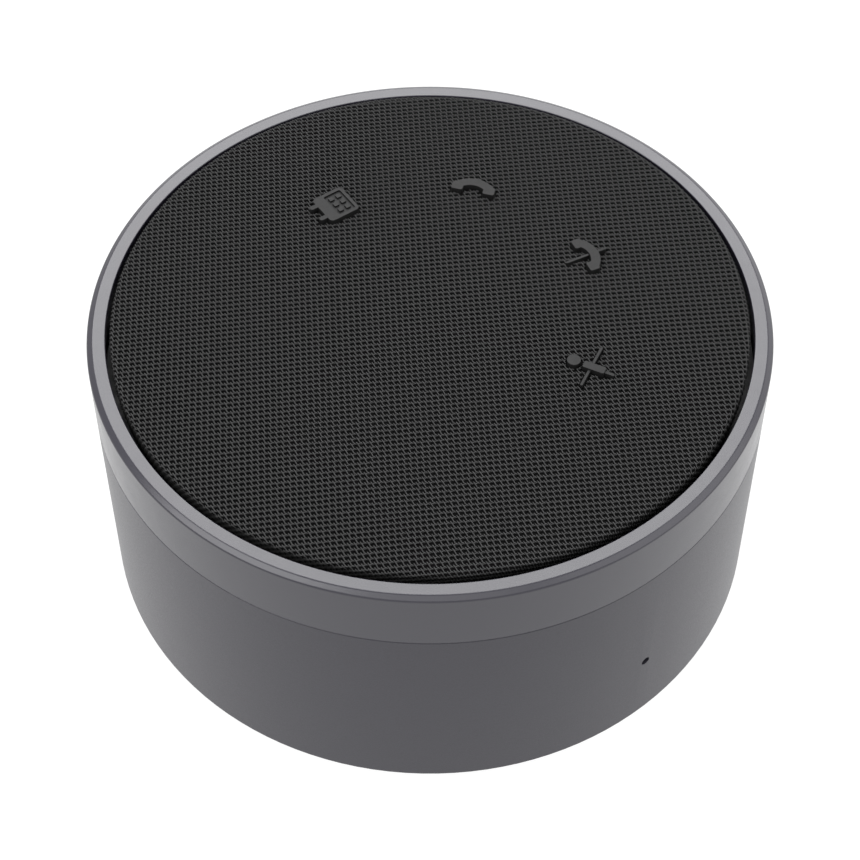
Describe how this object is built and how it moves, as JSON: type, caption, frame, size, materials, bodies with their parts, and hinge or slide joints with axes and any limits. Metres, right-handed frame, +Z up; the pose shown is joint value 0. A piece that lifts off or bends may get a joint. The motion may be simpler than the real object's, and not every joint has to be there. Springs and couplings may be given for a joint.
{
  "type": "conference speakerphone",
  "caption": "Round puck-shaped conference speakerphone with a knitted domed top, a metal bezel ring, raised press keys and a rear USB-C socket.",
  "frame": {"origin": "centre of the rubber foot on the table, on the case axis", "axes": "+Z up along the case axis, +Y towards the rear USB-C socket, +X to the right of someone in front of it"},
  "size_m": [0.12, 0.12, 0.0575],
  "materials": {
    "case_plastic": "satin moulded dark grey plastic with a fine speckle",
    "ring_metal": "fine-blasted grey aluminium with a machined chamfer",
    "base_plastic": "moulded black plastic with a fine texture",
    "foot_rubber": "matte black rubber",
    "knit_fabric": "black open knit",
    "grille_plastic": "matte black plastic",
    "key_rubber": "soft-touch dark grey",
    "inner_plastic": "moulded black plastic",
    "plunger_plastic": "moulded nylon",
    "seal_rubber": "soft black rubber",
    "speaker_paper": "pressed black paper pulp",
    "spider_cloth": "resin-dipped corrugated cloth",
    "driver_steel": "zinc-plated steel",
    "magnet_ferrite": "ground ferrite",
    "coil_copper": "enamelled copper winding",
    "former_film": "amber polyimide film",
    "board_laminate": "solder-masked laminate",
    "chip_resin": "moulded resin",
    "shield_metal": "tin-plated sheet",
    "mesh_cloth": "woven acoustic mesh",
    "flex_film": "polyimide flat cable",
    "lead_jacket": "coloured wire insulation",
    "screw_steel": "black-zinc steel"
  },
  "bodies": {
    "case": {"amplifier_chip": "chip_resin", "base_cover": "base_plastic", "base_screws": "screw_steel", "bezel_ring": "ring_metal", "box_screws": "screw_steel", "chassis_screws": "screw_steel", "driver_basket": "driver_steel", "driver_gasket": "seal_rubber", "driver_magnet": "magnet_ferrite", "driver_screws": "screw_steel", "driver_spider": "spider_cloth", "driver_surround": "seal_rubber", "driver_terminals": "board_laminate", "driver_top_plate": "driver_steel", "driver_yoke": "driver_steel", "fabric_cover": "knit_fabric", "flex_connectors": "inner_plastic", "front_mic_board": "board_laminate", "front_mic_boot": "seal_rubber", "front_mic_capsule": "shield_metal", "front_mic_leads": "lead_jacket", "front_mic_mesh": "mesh_cloth", "grille_frame": "grille_plastic", "grille_screws": "screw_steel", "key_board": "board_laminate", "key_board_screws": "screw_steel", "key_flex_cable": "flex_film", "key_switches": "inner_plastic", "lead_grommet": "seal_rubber", "lower_housing": "case_plastic", "main_board": "board_laminate", "main_board_screws": "screw_steel", "power_inductor": "chip_resin", "rear_mic_board": "board_laminate", "rear_mic_boot": "seal_rubber", "rear_mic_capsule": "shield_metal", "rear_mic_leads": "lead_jacket", "rear_mic_mesh": "mesh_cloth", "rubber_foot": "foot_rubber", "shield_can": "shield_metal", "speaker_box": "inner_plastic", "speaker_box_gasket": "seal_rubber", "speaker_leads": "lead_jacket", "top_chassis": "inner_plastic", "usb_c_shell": "shield_metal", "usb_c_tongue": "inner_plastic", "wire_connectors": "inner_plastic"},
    "meeting_button": {"meeting_key": "key_rubber", "meeting_plunger": "plunger_plastic"},
    "call_button": {"call_key": "key_rubber", "call_plunger": "plunger_plastic"},
    "end_call_button": {"end_call_key": "key_rubber", "end_call_plunger": "plunger_plastic"},
    "mute_button": {"mute_key": "key_rubber", "mute_plunger": "plunger_plastic"},
    "cone_assembly": {"speaker_cone": "speaker_paper", "dust_cap": "speaker_paper", "voice_coil_former": "former_film", "voice_coil": "coil_copper"}
  },
  "joints": [
    {"name": "meeting_press", "type": "slide", "parent": "case", "child": "meeting_button", "axis": [0, 0, -1], "range_m": [0, 0.00035], "stiffness_N_per_m": 1000, "springref_m": -0.0012},
    {"name": "call_press", "type": "slide", "parent": "case", "child": "call_button", "axis": [0, 0, -1], "range_m": [0, 0.00035], "stiffness_N_per_m": 1000, "springref_m": -0.0012},
    {"name": "end_call_press", "type": "slide", "parent": "case", "child": "end_call_button", "axis": [0, 0, -1], "range_m": [0, 0.00035], "stiffness_N_per_m": 1000, "springref_m": -0.0012},
    {"name": "mute_press", "type": "slide", "parent": "case", "child": "mute_button", "axis": [0, 0, -1], "range_m": [0, 0.00035], "stiffness_N_per_m": 1000, "springref_m": -0.0012},
    {"name": "cone_travel", "type": "slide", "parent": "case", "child": "cone_assembly", "axis": [0, 0, 1], "range_m": [-0.001, 0.001], "stiffness_N_per_m": 1500, "deforming": ["driver_surround", "driver_spider"]}
  ]
}
